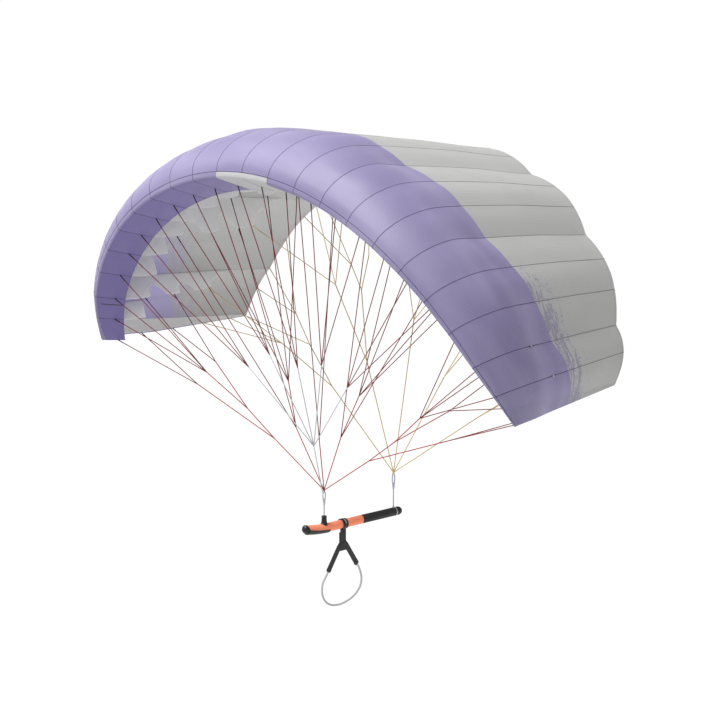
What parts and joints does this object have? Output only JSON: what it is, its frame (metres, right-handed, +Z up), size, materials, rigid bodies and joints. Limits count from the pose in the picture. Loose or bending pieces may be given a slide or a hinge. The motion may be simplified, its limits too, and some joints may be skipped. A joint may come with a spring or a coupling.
{
  "type": "parawing",
  "caption": "Hand-held single skin parawing: an arched cloth canopy with ribs and a lower nose lip, a bridle of lines, a short control bar and a harness loop.",
  "frame": {"origin": "On the axis of the control bar, where the rider's hands hold it.", "axes": "+X runs along the span of the canopy, +Y runs along the bar and the chord towards the trailing edge, +Z is up from the bar to the canopy."},
  "size_m": [2.2044, 1.1219, 1.7775],
  "materials": {
    "purple_cloth": "matt ripstop cloth",
    "grey_cloth": "matt ripstop cloth",
    "white_cloth": "matt ripstop cloth",
    "red_line": "braided line",
    "grey_line": "braided line",
    "yellow_line": "braided line",
    "orange_grip": "matt foam grip",
    "black_grip": "matt foam grip",
    "black_plastic": "moulded, satin",
    "steel": "brushed",
    "webbing": "woven webbing",
    "grey_rope": "braided rope"
  },
  "bodies": {
    "root": {"nose_panel_1": "purple_cloth", "main_panel_1": "grey_cloth", "nose_panel_2": "purple_cloth", "main_panel_2": "grey_cloth", "nose_panel_3": "purple_cloth", "main_panel_3": "grey_cloth", "nose_panel_4": "purple_cloth", "main_panel_4": "grey_cloth", "nose_panel_5": "purple_cloth", "main_panel_5": "grey_cloth", "nose_panel_6": "purple_cloth", "main_panel_6": "grey_cloth", "nose_panel_7": "purple_cloth", "main_panel_7": "grey_cloth", "nose_panel_8": "purple_cloth", "main_panel_8": "grey_cloth", "lip_left": "purple_cloth", "lip_centre": "white_cloth", "lip_right": "purple_cloth", "rib_left_10": "grey_cloth", "rib_left_9": "grey_cloth", "rib_left_8": "grey_cloth", "rib_left_7": "grey_cloth", "rib_left_6": "grey_cloth", "rib_left_5": "grey_cloth", "rib_left_4": "grey_cloth", "rib_left_3": "grey_cloth", "rib_left_2": "grey_cloth", "rib_left_1": "grey_cloth", "rib_centre": "grey_cloth", "rib_right_1": "grey_cloth", "rib_right_2": "grey_cloth", "rib_right_3": "grey_cloth", "rib_right_4": "grey_cloth", "rib_right_5": "grey_cloth", "rib_right_6": "grey_cloth", "rib_right_7": "grey_cloth", "rib_right_8": "grey_cloth", "rib_right_9": "grey_cloth", "rib_right_10": "grey_cloth", "front_lines": "red_line", "nose_lines": "grey_line", "rear_lines": "yellow_line", "bar_front_grip": "orange_grip", "bar_rear_grip": "black_grip", "bar_end_band": "steel", "bar_end_cap": "black_plastic", "bar_nose_cap": "black_plastic", "bar_collar": "black_plastic", "line_post": "black_plastic", "front_pigtail": "grey_rope", "rear_pigtail": "grey_rope", "harness_strap": "webbing", "front_sleeve": "webbing", "rear_sleeve": "webbing", "harness_rope": "grey_rope"}
  },
  "joints": []
}
